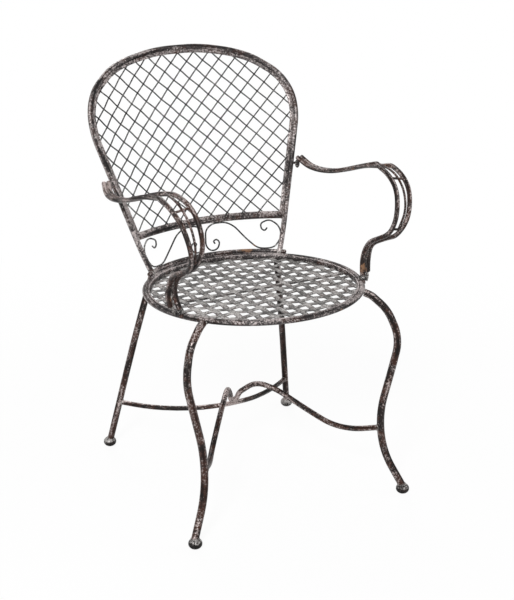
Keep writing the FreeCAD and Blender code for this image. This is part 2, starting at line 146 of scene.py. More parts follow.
# The rear stretcher is drawn whole, because its left end is welded higher than its right end.
REAR_STRETCHER = [(222, 262.5, 82), (165, 208, 94.5), (112, 166, 106), (62, 130, 119), (22, 103, 132),
                  (-22, 103, 132), (-62, 130, 122), (-112, 166, 115), (-165, 208, 113), (-216.5, 256.5, 117)]
ARMREST = [(236.5, 229, 648.5), (244.5, 200, 634.5), (249, 161, 634), (250, 100, 644.5), (251, 38, 664.5),
           (251, -28, 688.5)]
ARM_OUTER = [(x + ARM_SPREAD, y, z) for x, y, z in ARMREST] + [
    (256, -91, 701), (261, -112.5, 709), (259, -161, 700.5), (252, -201, 675.5), (241, -216.5, 624.5),
    (231, -190, 580.5), (239, -143, 562.5), (230, -93, 537), (234, -78.5, 495.5), (230.5, -84.5, 472.5)]
ARM_INNER = [(x - ARM_SPREAD, y, z) for x, y, z in ARMREST] + [
    (245, -88, 708), (228.5, -112, 712), (223, -166, 705.5), (220, -202.5, 681), (214.5, -214, 630),
    (218.5, -184, 585), (212, -147, 565), (219.5, -103, 544), (221, -77, 503), (211, -98, 452)]
ARM_MIDDLE = [(241, -97, 710), (241, -130, 710), (240.5, -165, 704), (238, -201, 680.5), (233, -217, 640.5),
              (227.5, -200, 598)]
ARM_PIN = [(216.5, 235, 636), (231, 229, 636)]
KNOB = (231, 229, 634)
LOWER_TIE = [(217, -192, 598), (235, -201, 598)]
UPPER_TIE = [(222.5, -172, 700), (257, -171.5, 694)]
ARM_SEAM = [(223.5, -106, 546), (226, -93, 528), (227.5, -80.5, 504), (225.5, -83, 482), (224.5, -88, 468)]
ARM_TOE = [(226, -90, 462), (224, -94, 453)]


# Places and routes

def place(point, side=1):
    """A point from the middle of the seat, in the chair's frame and in metres."""
    x, y, z = point
    return Vector((side * x, y + SEAT_Y, z)) / 1000


SEAT = Matrix.Translation((0, SEAT_Y / 1000, SEAT_LEVEL / 1000)) @ Matrix.Rotation(-SEAT_TILT, 4, "X")


def on_seat(x, y, z):
    """A point that is drawn flat about the seat's centre, set on the tilted seat."""
    return SEAT @ (Vector((x, y, z)) / 1000)


def across_middle(half):
    """The points of a route that crosses the middle plane, from its right half."""
    return half + [(-x, y, z) for x, y, z in reversed(half)]


def bent(points, step=3.0):
    """A rod's middle line: straight runs joined by tangent bends, each as large as its runs allow."""
    line = [points[0]]
    for before, corner, after in zip(points, points[1:], points[2:]):
        back = before - corner
        ahead = after - corner
        setback = 0.48 * min(back.length, ahead.length)
        back.normalize()
        ahead.normalize()
        half_turn = (math.pi - back.angle(ahead)) / 2
        radius = setback / math.tan(half_turn)
        inward = (back + ahead).normalized()
        centre = corner + inward * math.hypot(setback, radius)
        arm = corner + back * setback - centre
        swing = arm.cross(-back).normalized()
        count = max(2, math.ceil(math.degrees(2 * half_turn) / step))
        for number in range(count + 1):
            line.append(centre + Matrix.Rotation(2 * half_turn * number / count, 3, swing) @ arm)
    line.append(points[-1])
    return line


def even(line, spacing):
    """The same line with points no further apart than spacing, in metres."""
    result = [line[0]]
    for start, end in zip(line, line[1:]):
        count = max(1, math.ceil((end - start).length / spacing))
        for number in range(1, count + 1):
            result.append(start.lerp(end, number / count))
    return result


def softened(line, passes):
    """A line with its corners taken off, pass by pass; its ends stay."""
    for _ in range(passes):
        middle = [(before + here * 2 + after) / 4 for before, here, after in zip(line, line[1:], line[2:])]
        line = line[:1] + middle + line[-1:]
    return line


def frames(line, closed=False):
    """For each point of a line its run and two directions across it that don't twist."""
    result = []
    side = None
    count = len(line)
    for number, point in enumerate(line):
        before = line[number - 1] if number or closed else point
        after = line[(number + 1) % count] if number < count - 1 or closed else point
        run = (after - before).normalized()
        if side is None:
            side = run.orthogonal().normalized()
        side = (side - run * side.dot(run)).normalized()
        result.append((point, run, side, run.cross(side)))
    return result


def turns(count):
    """Equal turns once round, as angles."""
    return [2 * math.pi * number / count for number in range(count)]


def spoke(side, other, turn):
    """The direction at a turn between two directions across a rod."""
    return side * math.cos(turn) + other * math.sin(turn)


# Pieces are gathered as skins in a blank, then named

def marks(*spots):
    """Places of wear, rust and painted highlight on the chair as it stands: seat-centred place, reach in
    millimetres and strength.
    """
    return [(place(spot), reach / 1000, strength) for *spot, reach, strength in spots]


# Pale places: mostly rubbed paint, and some painted highlights, such as the one high on the left front leg.
PALE_WEAR_AND_HIGHLIGHT_MARKS = marks(
    (-212, 250, 146, 34, 1.0), (-214, 253, 120, 20, 1.5), (0, 99, 138, 40, 3.4), (-222, -166, 425, 60, 0.5),
    (184, 217, 296, 24, 1.4), (190, 225, 262, 16, 1.0), (235, 277, 14, 40, 2.6), (153, 183, 449, 26, 1.2),
    (-153, 183, 449, 26, 1.0), (211, -98, 452, 24, 1.0), (-196, -150, 448, 20, 1.0), (-244, 224, 648, 46, 1.5),
    (-250, 60, 660, 40, 0.5), (*FRONT_LEG[0], 34, 1.6), (-168, 215, 500, 75, 1.4), (-190, 230, 590, 60, 1.0))
RUST_MARKS = marks(
    (103, 213, 456, 22, 0.75), (84, 221, 456, 18, 0.9), (216, -88, 482, 22, 0.75), (221, -78, 505, 20, 0.4),
    (-60, -226, 438, 30, 0.7), (-150, -214, 437, 28, 0.75), (90, -212, 439, 34, 0.7),
    (-230, -90, 490, 20, 0.42), (246, 0, 676, 24, 0.5), (250, -110, 708, 30, 0.4))


class Blank:
    """The skins of one piece, with how pale or dark each of its points is made: rubbed wear, painted highlight
    and painted shade.
    """

    def __init__(self):
        self.points = []
        self.faces = []
        self.wear_and_light = []

    def skin(self, rings, closed=False, wear_and_light=None):
        """Joins rings into a skin; the last argument gives the wear, painted highlight and painted shade of
        each point of a ring, by the ring's number.
        """
        first = len(self.points)
        count = len(rings[0])
        for number, ring in enumerate(rings):
            self.points.extend(ring)
            self.wear_and_light.extend(wear_and_light(number) if wear_and_light else [0.0] * count)
        for row in range(len(rings) if closed else len(rings) - 1):
            here = first + row * count
            there = first + (row + 1) % len(rings) * count
            for number in range(count):
                after = (number + 1) % count
                self.faces.append((here + number, here + after, there + after, there + number))
        if not closed:
            self.faces.append(tuple(range(first + count - 1, first - 1, -1)))
            self.faces.append(tuple(range(first + (len(rings) - 1) * count, first + len(rings) * count)))

    def rod(self, line, radius, sides=18, closed=False, ends=1.0):
        """A round rod along a line, never quite even; its ends are domed by ends times the radius.

        radius is a length or a function that gives one for a point."""
        rings = []
        streaks = []
        laid = frames(line, closed)
        length = 0.0
        for number, (point, run, side, other) in enumerate(laid):
            if number:
                length += (point - laid[number - 1][0]).length
            reach = radius(point) if callable(radius) else radius
            reach *= 1 + 0.012 * noise.noise(Vector((length * 45, reach * 900, 0)))
            rings.append([point + spoke(side, other, turn) * reach for turn in turns(sides)])
            # Thick rods get painted highlight streaks lengthwise, added to their wear.
            streaks.append([self.streak(point, turn) if reach > THICK_ROD else 0.0 for turn in turns(sides)])
        if not closed and ends:
            rings = self.domed(rings, laid[0], ends, -1)[::-1] + rings + self.domed(rings, laid[-1], ends, 1)
            streaks = streaks[:1] * 3 + streaks + streaks[-1:] * 3
        self.skin(rings, closed, lambda number: streaks[number])

    @staticmethod
    def streak(point, turn):
        """The painted highlight streak at a turn round a thick rod; it changes slowly along the rod and fast
        round it.
        """
        aside = Vector((STREAK_SPREAD * math.cos(turn), STREAK_SPREAD * math.sin(turn), 0))
        return STREAK * noise.noise(point * STREAK_SCALE + aside)

    @staticmethod
    def domed(rings, end, ends, way):
        """The rings that close a rod's first end (way -1) or last end (way 1) as a dome."""
        point, run, side, other = end
        ring = rings[0] if way < 0 else rings[-1]
        result = []
        radius = (ring[0] - point).length
        for rise in (0.35, 0.7, 0.94):
            shrink = math.sqrt(1 - rise * rise)
            forward = run * (way * rise * ends * radius)
            result.append([point + (corner - point) * shrink + forward for corner in ring])
        return result

    def bead(self, line, radius, closed=False, seed=0.0):
        """A run of weld metal: ripples along it, and it thins out at open ends."""
        line = even(line, 0.0009)
        rings = []
        laid = frames(line, closed)
        last = len(laid) - 1
        for number, (point, run, side, other) in enumerate(laid):
            thin = 1.0 if closed else math.sqrt(max(0.03, math.sin(math.pi * (0.02 + 0.96 * number / last))))
            lump = noise.noise(Vector((number * 0.3, seed, 0)))
            reach = radius * thin * (1 + 0.16 * math.sin(number * 2.3) + 0.3 * lump)
            rings.append([point + spoke(side, other, turn) * reach for turn in turns(8)])
        self.skin(rings, closed)

    def marked(self, marks):
        """How much of the given marks each point has; a mark is a place, its reach and its strength."""
        levels = [0.0] * len(self.points)
        for spot, reach, strength in marks:
            for number, point in enumerate(self.points):
                gap = (point - spot).length / reach
                if gap < 1:
                    levels[number] += strength * (1 - gap * gap) ** 2
        return levels

    def tree(self):
        """The piece as something that rays can be cast at."""
        return BVHTree.FromPolygons(self.points, self.faces)

    def named(self, name, finish, slot, nodes=(), sharp=38):
        """Makes the piece, smooth but for its corners; it stands for the given nodes."""
        mesh = bpy.data.meshes.new(name)
        mesh.from_pydata(self.points, [], self.faces)
        # This attribute holds rubbed wear together with painted highlights and painted shade.
        worn_and_lit = mesh.attributes.new("wear_and_light", "FLOAT", "POINT")
        worn_and_lit.data.foreach_set("value", [a + b for a, b in zip(self.wear_and_light, self.marked(PALE_WEAR_AND_HIGHLIGHT_MARKS))])
        rusty = mesh.attributes.new("rusty", "FLOAT", "POINT")
        rusty.data.foreach_set("value", self.marked(RUST_MARKS))
        shell = bmesh.new()
        shell.from_mesh(mesh)
        bmesh.ops.remove_doubles(shell, verts=shell.verts, dist=1e-6)
        bmesh.ops.recalc_face_normals(shell, faces=shell.faces)
        shell.to_mesh(mesh)
        shell.free()
        mesh.shade_smooth()
        mesh.set_sharp_from_angle(angle=math.radians(sharp))
        mesh.materials.append(finish)
        body = bpy.data.objects.new(name, mesh)
        bpy.context.scene.collection.objects.link(body)
        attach(body, "root")
        if nodes:
            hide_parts(*nodes)


def weld_round(blank, start, end, radius, neighbours, bead, seed):
    """A weld round a rod where it runs into its neighbours, from start towards end."""
    run = (end - start).normalized()
    side = run.orthogonal().normalized()
    other = run.cross(side)
    hits = []
    for turn in turns(36):
        edge = start + spoke(side, other, turn) * radius
        nearest = None
        for tree in neighbours:
            found = tree.ray_cast(edge, run, (end - start).length + 0.004)
            if found[0] is not None and (nearest is None or found[3] < nearest[3]):
                nearest = found
        hits.append(nearest[0] if nearest else None)
    if None not in hits:
        blank.bead(hits, bead, closed=True, seed=seed)
        return
    gap = hits.index(None)
    line = [hit for hit in hits[gap:] + hits[:gap] if hit is not None]
    if len(line) > 4:
        blank.bead(line, bead, seed=seed)


# Finishes

class Flow:
    """A shader value that takes part in sums; colours and directions go through their own nodes."""

    def __init__(self, tree, socket=None):
        self.tree = tree
        self.socket = socket

    def node(self, kind, output=0, inputs=None, **settings):
        """A node of any kind: its settings first, then its sockets; gives one of its outputs."""
        made = self.tree.nodes.new(kind)
        for key, value in settings.items():
            setattr(made, key, value)
        for key, value in (inputs or {}).items():
            if isinstance(value, Flow):
                self.tree.links.new(value.socket, made.inputs[key])
            else:
                made.inputs[key].default_value = value
        return Flow(self.tree, made.outputs[output] if made.outputs else None)

    def maths(self, operation, *values):
        return self.node("ShaderNodeMath", inputs=dict(enumerate(values)), operation=operation)

    def __add__(self, other):
        return self.maths("ADD", self, other)

    def __sub__(self, other):
        return self.maths("SUBTRACT", self, other)

    def __mul__(self, other):
        return self.maths("MULTIPLY", self, other)

    def __rsub__(self, other):
        return self.maths("SUBTRACT", other, self)

    __radd__ = __add__
    __rmul__ = __mul__

    def step(self, low, high):
        """0 below low, 1 above high, with a soft change between."""
        return self.node("ShaderNodeMapRange", inputs={"Value": self, "From Min": low, "From Max": high},
                         interpolation_type="SMOOTHSTEP")

    def blend(self, share, other):
        """This colour turned to the other by a share from 0 to 1."""
        return self.node("ShaderNodeMix", output=2, inputs={0: share, 6: self, 7: other}, data_type="RGBA")


def bare_finish(name):
    """A material with no nodes yet, and the flow that its nodes start from."""
    finish = bpy.data.materials.new(name)
    finish.use_nodes = True
    finish.node_tree.nodes.clear()
    return finish, Flow(finish.node_tree)


def antique_iron(name, ground, brown, pale, share, rough):
    """Dark paint on iron: brown blotches, pale fine speckle where it is rubbed and as painted highlight on tops
    and in streaks, rust in places, and grime together with painted shade on undersides and in dips.

    share says how much is brown and how much is pale, each from 0 to 1."""
    finish, start = bare_finish(name)
    where = start.node("ShaderNodeTexCoord", output="Object")

    def mottle(scale, detail, roughness, shift=0.0):
        moved = start.node("ShaderNodeVectorMath", inputs={0: where, 1: (shift, shift * 0.7, -shift)},
                           operation="ADD")
        return start.node("ShaderNodeTexNoise",
                          inputs={"Vector": moved, "Scale": scale, "Detail": detail, "Roughness": roughness})

    clouds = mottle(17, 3, 0.6)
    patches = mottle(85, 4, 0.6, 0.31)
    flecks = mottle(300, 3, 0.65, 0.77)
    grain = mottle(650, 2, 0.6, 1.7)
    grit = mottle(1800, 2, 0.5, 1.3)
    facing = start.node("ShaderNodeNewGeometry", output="Normal")
    upward = start.node("ShaderNodeSeparateXYZ", output=2, inputs={0: facing})
    wear_and_light = start.node("ShaderNodeAttribute", output="Fac", attribute_name="wear_and_light")
    rusty = start.node("ShaderNodeAttribute", output="Fac", attribute_name="rusty")

    brown_share, pale_share = share
    # Upward-facing surfaces are made a little paler: painted light from above. The wear attribute adds rubbed
    # paint, painted highlight streaks and painted shade.
    worn_and_lit = clouds * 0.45 + patches * 0.6 + upward * 0.05 + wear_and_light * 0.16
    speckle = worn_and_lit + flecks * 1.3 + grain * 0.6
    pale_at = 1.675 - pale_share * 0.32
    pale_mask = speckle.step(pale_at, pale_at + 0.11)
    bright_mask = (speckle + grit * 0.2).step(pale_at + 0.22, pale_at + 0.34)
    brown_at = 0.86 - brown_share * 0.24
    brown_mask = (clouds * 0.7 + mottle(60, 4, 0.6, 2.9) * 0.8).step(brown_at, brown_at + 0.14)
    dark_mask = (worn_and_lit * 0.6 + mottle(260, 3, 0.6, 4.1)).step(0.785, 0.665)
    rust_mask = (rusty + (patches - 0.5) * 1.6 + (flecks - 0.5) * 0.8).step(0.42, 0.62)
    # Darkening where the wear attribute is below zero is painted shade on undersides, seams and dips; the
    # patches add real grime.
    grime_and_shade = (0 - wear_and_light - (patches - 0.5) * 1.5).step(0.25, 1.1)

    base = start.node("ShaderNodeMix", output=2, data_type="RGBA",
                      inputs={0: clouds.step(0.4, 0.6), 6: colour(ground, 1.25), 7: colour(ground)})
    base = base.blend(brown_mask * 0.9, colour(brown))
    base = base.blend(dark_mask * 0.6, colour(ground, 0.3))
    base = base.blend(pale_mask * 0.75, colour(pale))
    base = base.blend(bright_mask * 0.8, colour(pale, 1.75))
    base = base.blend(rust_mask * 0.85, colour(RUST))
    base = base.blend(grime_and_shade * 0.6, colour(ground, 0.22))

    relief = patches * 0.45 + flecks * 0.55 + grain * 0.3 + grit * 0.1
    bump = start.node("ShaderNodeBump", inputs={"Height": relief, "Strength": 0.55, "Distance": 0.001})
    shine = rough + (pale_mask * 0.1 + grime_and_shade * 0.25 + grit * 0.12 - bright_mask * 0.1)
    surface = start.node("ShaderNodeBsdfPrincipled", inputs={
        "Base Color": base, "Roughness": shine, "Metallic": bright_mask * 0.3, "Normal": bump,
        "Specular IOR Level": 0.18})
    start.node("ShaderNodeOutputMaterial", inputs={"Surface": surface})
    return finish


def colour(levels, factor=1.0):
    """A shader colour from its red, green and blue, made lighter or darker by a factor."""
    return (*(min(0.72, level * factor) for level in levels), 1.0)


RUST = (0.27, 0.145, 0.078)
PALE_PINK = (0.36, 0.305, 0.292)
PALE_GREY = (0.33, 0.325, 0.315)

tube_finish = antique_iron("antique_iron_tube", ground=(0.040, 0.035, 0.035), brown=(0.070, 0.040, 0.033),
                           pale=(0.365, 0.325, 0.317), share=(0.6, 0.52), rough=0.34)
leg_finish = antique_iron("antique_iron_legs", ground=(0.017, 0.0125, 0.0115), brown=(0.066, 0.030, 0.021),
                          pale=PALE_PINK, share=(0.75, 0.30), rough=0.32)
arm_finish = antique_iron("antique_iron_arms", ground=(0.026, 0.0195, 0.018), brown=(0.074, 0.036, 0.026),
                          pale=PALE_PINK, share=(0.7, 0.42), rough=0.32)
strip_finish = antique_iron("antique_iron_strips", ground=(0.085, 0.081, 0.077), brown=(0.135, 0.098, 0.09),
                            pale=(0.37, 0.355, 0.345), share=(0.6, 0.72), rough=0.42)
wire_finish = antique_iron("antique_iron_wires", ground=(0.021, 0.021, 0.022), brown=(0.032, 0.026, 0.024),
                           pale=PALE_GREY, share=(0.3, 0.34), rough=0.42)
foot_finish = antique_iron("antique_iron_feet", ground=(0.016, 0.0145, 0.014), brown=(0.03, 0.02, 0.017),
                           pale=(0.34, 0.325, 0.315), share=(0.4, 0.4), rough=0.32)
weld_finish = antique_iron("antique_iron_welds", ground=(0.07, 0.064, 0.060), brown=(0.08, 0.052, 0.042),
                           pale=(0.38, 0.36, 0.345), share=(0.3, 0.7), rough=0.38)


# Seat

def ring_line(radius, level, sweep=360.0, start=0.0):
    """A ring round the seat, or a part of it, with a point every two degrees."""
    count = int(sweep / 2)
    closed = sweep == 360.0
    line = []
    for number in range(count if closed else count + 1):
        angle = math.radians(start + sweep * number / count)
        line.append(on_seat(radius * math.cos(angle), radius * math.sin(angle), level))
    return line


rim = Blank()
rim.rod(ring_line(RIM_RADIUS, 0.0), RIM_TUBE / 1000, sides=24, closed=True)
rim_tree = rim.tree()
rim.named("seat_rim_tube", tube_finish, "frame", ["seat_rim"])

# The rail lies on the rim's outer shoulder, along its rear quarter.
rail_offset = (RIM_TUBE + RAIL_ROD) * math.cos(math.radians(45))
rail_line = ring_line(RIM_RADIUS + rail_offset, rail_offset, sweep=90.0, start=45.0)
rail = Blank()
rail.rod(rail_line, RAIL_ROD / 1000, sides=20, ends=0.5)
rail_tree = rail.tree()
rail.named("back_rail_rod", tube_finish, "frame", ["seat_rail"])

outer = RIM_RADIUS - RIM_TUBE + 0.3
inner = RIM_RADIUS - RIM_TUBE - BAND_THICK
band_section = [(outer, BAND_FOOT + BAND_EASE), (outer, BAND_TOP - BAND_EASE), (outer - BAND_EASE, BAND_TOP),
                (inner + BAND_EASE, BAND_TOP), (inner, BAND_TOP - BAND_EASE), (inner, BAND_FOOT + BAND_EASE),
                (inner + BAND_EASE, BAND_FOOT), (outer - BAND_EASE, BAND_FOOT)]
band_rings = [[on_seat(reach * math.cos(turn), reach * math.sin(turn), level) for reach, level in band_section]
              for turn in turns(180)]
band = Blank()
# The band is made paler along its top, as rubbed wear and painted light from above, and darker on its underside
# and lower faces, as painted shade.
band.skin(band_rings, closed=True, wear_and_light=lambda number: [-0.5, 0.4, 1, 1, 0.4, -1, -1, -1])
band.named("seat_band_flat", tube_finish, "frame", ["seat_band"], sharp=50)


def weave_rise(along, offset, phase):
    """The height of a strip's middle: flat where it crosses another strip, sloping between."""
    place_on = along / STRIP_PITCH - offset
    step = round(place_on)
    here = 1 if (step + phase) % 2 else -1
    beyond = abs(place_on - step) * STRIP_PITCH
    if beyond <= WEAVE_FLAT:
        return here
    share = (beyond - WEAVE_FLAT) / (STRIP_PITCH - 2 * WEAVE_FLAT)
    return here * (1 - 2 * share * share * (3 - 2 * share))


def woven_strips(positions, across):
    """One set of strips, each over one strip of the other set and under the next."""
    half = STRIP_WIDTH / 2
    thick = STRIP_THICK / 2
    edge = STRIP_EASE
    crest = half * STRIP_CREST
    section = [(-half, -thick + edge), (-half + edge, -thick), (half - edge, -thick), (half, -thick + edge),
               (half, thick - edge), (half - edge, thick), (crest, thick + 0.02), (0, thick + 0.05),
               (-crest, thick + 0.02), (-half + edge, thick), (-half, thick - edge)]
    # Each strip is made darker on its underside and edges, as painted shade, and paler along its crest, as
    # rubbed wear and painted light.
    worn_and_lit = [-1.2, -1, -1, -1.2, -0.7, -0.2, 0.3, 0.5, 0.3, -0.2, -0.7]
    offset = 0.5 if across else 0.0
    blank = Blank()
    for number, position in enumerate(positions):
        longest = math.sqrt(inner * inner - max(0.0, abs(position) - half) ** 2)
        count = math.ceil(2 * longest / 2.4)
        rings = []
        rises = []
        for row in range(count + 1):
            share = 2 * row / count - 1
            ring = []
            rises.append(weave_rise(share * longest, offset, number % 2))
            for side, rise in section:
                reach = math.sqrt(max(400.0, (inner + 0.6) ** 2 - (position + side) ** 2))
                along = share * reach
                height = STRIP_LEVEL + rise + weave_rise(along, offset, number % 2) * thick
                ring.append(on_seat(along, position + side, height) if across
                            else on_seat(position + side, -along, height))
            rings.append(ring)
        # A strip is darker still where it dips under a crossing strip: painted shade.
        blank.skin(rings, wear_and_light=lambda row: [level + 0.3 * (rises[row] - 1) for level in worn_and_lit])
    return blank


across_positions = [number * STRIP_PITCH for number in range(-7, 8)]
lengthwise_positions = [(number + 0.5) * STRIP_PITCH for number in range(-7, 7)]
woven_strips(across_positions, True).named("woven_strips_across", strip_finish, "strip",
                                           ["seat_strips_across"], sharp=60)
woven_strips(lengthwise_positions, False).named("woven_strips_lengthwise", strip_finish, "strip",
                                                ["seat_strips_lengthwise"], sharp=60)

# A flat brace under the strips, from side to side
brace_stations = [(on_seat(side * (inner + 0.4), BRACE_Y, STRIP_LEVEL - BRACE_DROP), Vector((0, 1, 0)),
                   Vector((0, 0, 1))) for side in (1, -1)]


# Back

hoop_line = bent([place(point) for point in across_middle(HOOP)])
hoop = Blank()
hoop.rod(even(hoop_line, ROD_STEP), HOOP_TUBE / 1000, sides=24, ends=0)
hoop_tree = hoop.tree()
hoop.named("back_hoop_tube", tube_finish, "frame", ["back_hoop"])


def crossbar_y(x):
    """The crossbar's bow to the back, as an arc through its ends and middle."""
    radius = (CROSSBAR_HALF ** 2 + CROSSBAR_SAG ** 2) / (2 * CROSSBAR_SAG)
    return CROSSBAR_Y - radius + math.sqrt(radius * radius - x * x)


def sill_y(x):
    """The bow of the flat sill and of the scrolls' upper side, as a parabola."""
    share = x / CROSSBAR_HALF
    return CROSSBAR_Y - CROSSBAR_SAG * share * share


crossbar_line = []
for number in range(61):
    x = CROSSBAR_HALF * (1 - number / 30)
    crossbar_line.append(place((x, crossbar_y(x), CROSSBAR_LEVEL)))
crossbar = Blank()
crossbar.rod(crossbar_line, CROSSBAR_TUBE / 1000, sides=20, ends=0)
crossbar.named("back_crossbar_rod", tube_finish, "frame", ["back_crossbar"])


def back_y(x, z):
    """The back's surface: it leans, bows a little with height and is hollow from side to side."""
    height = (z - BACK_LEVEL) / BACK_SPAN
    lean = BACK_DEPTH + BACK_LEAN * height + BACK_BOW * height * height
    return lean - x * x * (BACK_HOLLOW - BACK_HOLLOW_LOSS * height) / 1000.0


def back_normal(x, z):
    """The unit normal of the back's surface, towards the sitter."""
    across = (back_y(x + 1, z) - back_y(x - 1, z)) / 2
    rise = (back_y(x, z + 1) - back_y(x, z - 1)) / 2
    return Vector((across, -1.0, rise)).normalized()


def flat_bar(stations, width, thick):
    """A flat bar with eased edges, through stations of a middle, its width's way and its face's way."""
    ease = 0.0006
    half = width / 2000
    deep = thick / 2000
    section = [(-half, -deep + ease), (-half + ease, -deep), (half - ease, -deep), (half, -deep + ease),
               (half, deep - ease), (half - ease, deep), (-half + ease, deep), (-half, deep - ease)]
    rings = [[middle + wide * across + face * out for across, out in section]
             for middle, wide, face in stations]
    blank = Blank()
    blank.skin(rings, wear_and_light=lambda number: [0.3, 0.3, 0.3, 0.3, 0.8, 0.5, 0.5, 0.8])
    return blank


def arch_stations():
    """The flat bar that follows the inside of the hoop, square to the back's surface."""
    line = [point for point in even(hoop_line, ROD_STEP) if point.z * 1000 >= CROSSBAR_LEVEL - 1]
    inset = (HOOP_TUBE - FRAME_SUNK + FRAME_WIDTH / 2) / 1000
    stations = []
    for number, point in enumerate(line):
        run = (line[min(number + 1, len(line) - 1)] - line[max(number - 1, 0)]).normalized()
        normal = back_normal(point.x * 1000, point.z * 1000)
        inward = run.cross(normal).normalized()
        if inward.dot(Vector((-point.x, 0, 0.7 - point.z))) < 0:
            inward = -inward
        facing = inward.cross(run).normalized()
        if facing.y > 0:
            facing = -facing
        stations.append((point + inward * inset, inward, facing))
    return stations


flat_bar(brace_stations, BRACE_WIDTH, BRACE_THICK).named("seat_brace_bar", strip_finish, "frame")
arch = flat_bar(arch_stations(), FRAME_WIDTH, FRAME_THICK)
arch.named("mesh_frame_arch_bar", tube_finish, "frame", ["mesh_frame_arch"], sharp=50)

sill_level = CROSSBAR_LEVEL + CROSSBAR_TUBE - FRAME_SUNK + FRAME_WIDTH / 2
sill_stations = []
for number in range(41):
    x = (CROSSBAR_HALF - 4) * (1 - number / 20)
    lean = back_normal(x, sill_level)
    upright = (Vector((0, 0, 1)) - lean * lean.z).normalized()
    sill_stations.append((place((x, sill_y(x), sill_level)), upright, lean))
sill = flat_bar(sill_stations, FRAME_WIDTH, FRAME_THICK)
sill.named("mesh_frame_sill_bar", tube_finish, "frame", ["mesh_frame_sill"], sharp=50)


# Wire mesh

def crossing(column, line):
    """The point of the back's surface at a crossing, counted sideways and down.

    The count goes along the hollow surface, so the crossings draw together towards the sides."""
    along = MESH_HALF * column
    x = along - 0.667 * MESH_HOLLOW ** 2 * along ** 3
    return x, MESH_TOP - MESH_HALF * math.cos(MESH_LEAN) * line


frame_outline = [(middle.x * 1000, middle.z * 1000) for middle, inward, facing in arch_stations()]


def inside_frame(x, z):
    """Whether a point of the mesh lies inside the middle line of its frame."""
    if z < sill_level:
        return False
    inside = False
    for (x1, z1), (x2, z2) in zip(frame_outline, frame_outline[1:]):
        if (z1 > z) != (z2 > z) and x < x1 + (z - z1) * (x2 - x1) / (z2 - z1):
            inside = not inside
    return inside


def woven_wires(slope, ends):
    """One set of parallel wires, each over one wire of the other set and under the next.

    The wires' first and last two points are added to ends, for the tack welds."""
    blank = Blank()
    steps = 6
    for number in range(-20, 42, 2):
        line = []
        for tick in range(-2 * steps, 24 * steps):
            row = tick / steps
            x, z = crossing(slope * (row - number), row)
            if inside_frame(x, z):
                weave = math.cos(math.pi * row) * slope * MESH_WIRE * 0.9 / 1000
                line.append(place((x, back_y(x, z), z)) + back_normal(x, z) * weave)
        if len(line) > steps:
            blank.rod(line, MESH_WIRE / 1000, sides=8, ends=0)
            ends.append((line[0], line[1]))
            ends.append((line[-1], line[-2]))
    return blank


wire_ends = []
woven_wires(-1, wire_ends).named("mesh_wires_rising_set", wire_finish, "mesh", ["mesh_wires_rising"])
woven_wires(1, wire_ends).named("mesh_wires_falling_set", wire_finish, "mesh", ["mesh_wires_falling"])


# Scrolls between the rail and the crossbar

def scroll_y(x, z):
    """The surface of the scrolls, from the rail below to the crossbar above."""
    below = math.sqrt((RIM_RADIUS + SCROLL_OUT) ** 2 - x * x)
    return below + (sill_y(x) - below) * (z - SCROLL_FOOT) / (CROSSBAR_LEVEL - SCROLL_FOOT)


for side, word in SIDES:
    line = bent([place((x, scroll_y(x, z), z), side) for x, z in SCROLL], step=6)
    scroll = Blank()
    scroll.rod(even(line, SCROLL_STEP), SCROLL_WIRE / 1000, sides=12)
    scroll.named("scroll_wire_" + word, wire_finish, "frame", ["scroll_" + word])


# Legs, feet and stretchers

def long_rod(points, radius, sides=22, ends=0.0, passes=0):
    """A bent rod through points; radius is in millimetres, or a function that gives it in metres."""
    reach = radius if callable(radius) else radius / 1000
    blank = Blank()
    blank.rod(softened(even(bent(points), ROD_STEP), passes), reach, sides=sides, ends=ends)
    return blank


def turned(profile, centre, sides=36, worn_and_lit=None):
    """A round piece from its outline, distances from its axis and heights in millimetres; the last argument
    gives how pale or dark it is made by height.
    """
    rings = [[centre + Vector((reach * math.cos(turn), reach * math.sin(turn), height)) / 1000
              for turn in turns(sides)] for reach, height in profile]
    blank = Blank()
    blank.skin(rings, wear_and_light=worn_and_lit and (lambda number: [worn_and_lit(profile[number][1])] * sides))
    return blank


def foot_highlight_and_shade(height):
    """The top of a foot is made pale as a painted highlight; its seam and its underside are darkened as painted
    shade.
    """
    if height > FOOT_LIFT + 3.5:
        return 0.7
    return -1.4 if height < FOOT_LIFT - 1.5 else -0.5


def foot_outline():
    """A flattened ball with a flat to stand on and a fine seam round its middle."""
    outline = [(0.5, 0.0), (4.6, 0.0), (5.4, 0.15)]
    for number in range(1, 19):
        latitude = math.radians(-66 + 8 * number)
        reach = FOOT_BALL * math.cos(latitude)
        seam = 0.4 if abs(latitude) < math.radians(4) else 0.0
        outline.append((reach - seam, FOOT_LIFT + FOOT_RISE * math.sin(latitude)))
    outline.append((1.0, FOOT_LIFT + FOOT_RISE * 0.997))
    return outline


LEGS = (("front", FRONT_LEG, FRONT_LEG_TUBE), ("rear", REAR_LEG, REAR_LEG_TUBE))

leg_trees = {}
foot_trees = {}
for side, word in SIDES:
    for end, route, tube in LEGS:
        points = [place(point, side) for point in route]
        leg = long_rod(points, tube)
        leg_trees[end, side] = leg.tree()
        leg.named("leg_%s_tube_%s" % (end, word), leg_finish, "frame", ["leg_%s_%s" % (end, word)])
        inward = FRONT_FOOT_INWARD / 1000 * side if end == "front" else 0.0
        foot = turned(foot_outline(), Vector((points[-1].x - inward, points[-1].y, 0)), worn_and_lit=foot_highlight_and_shade)
        foot_trees[end, side] = foot.tree()
        foot.named("ball_foot_%s_%s" % (end, word), foot_finish, "foot", ["foot_%s_%s" % (end, word)])

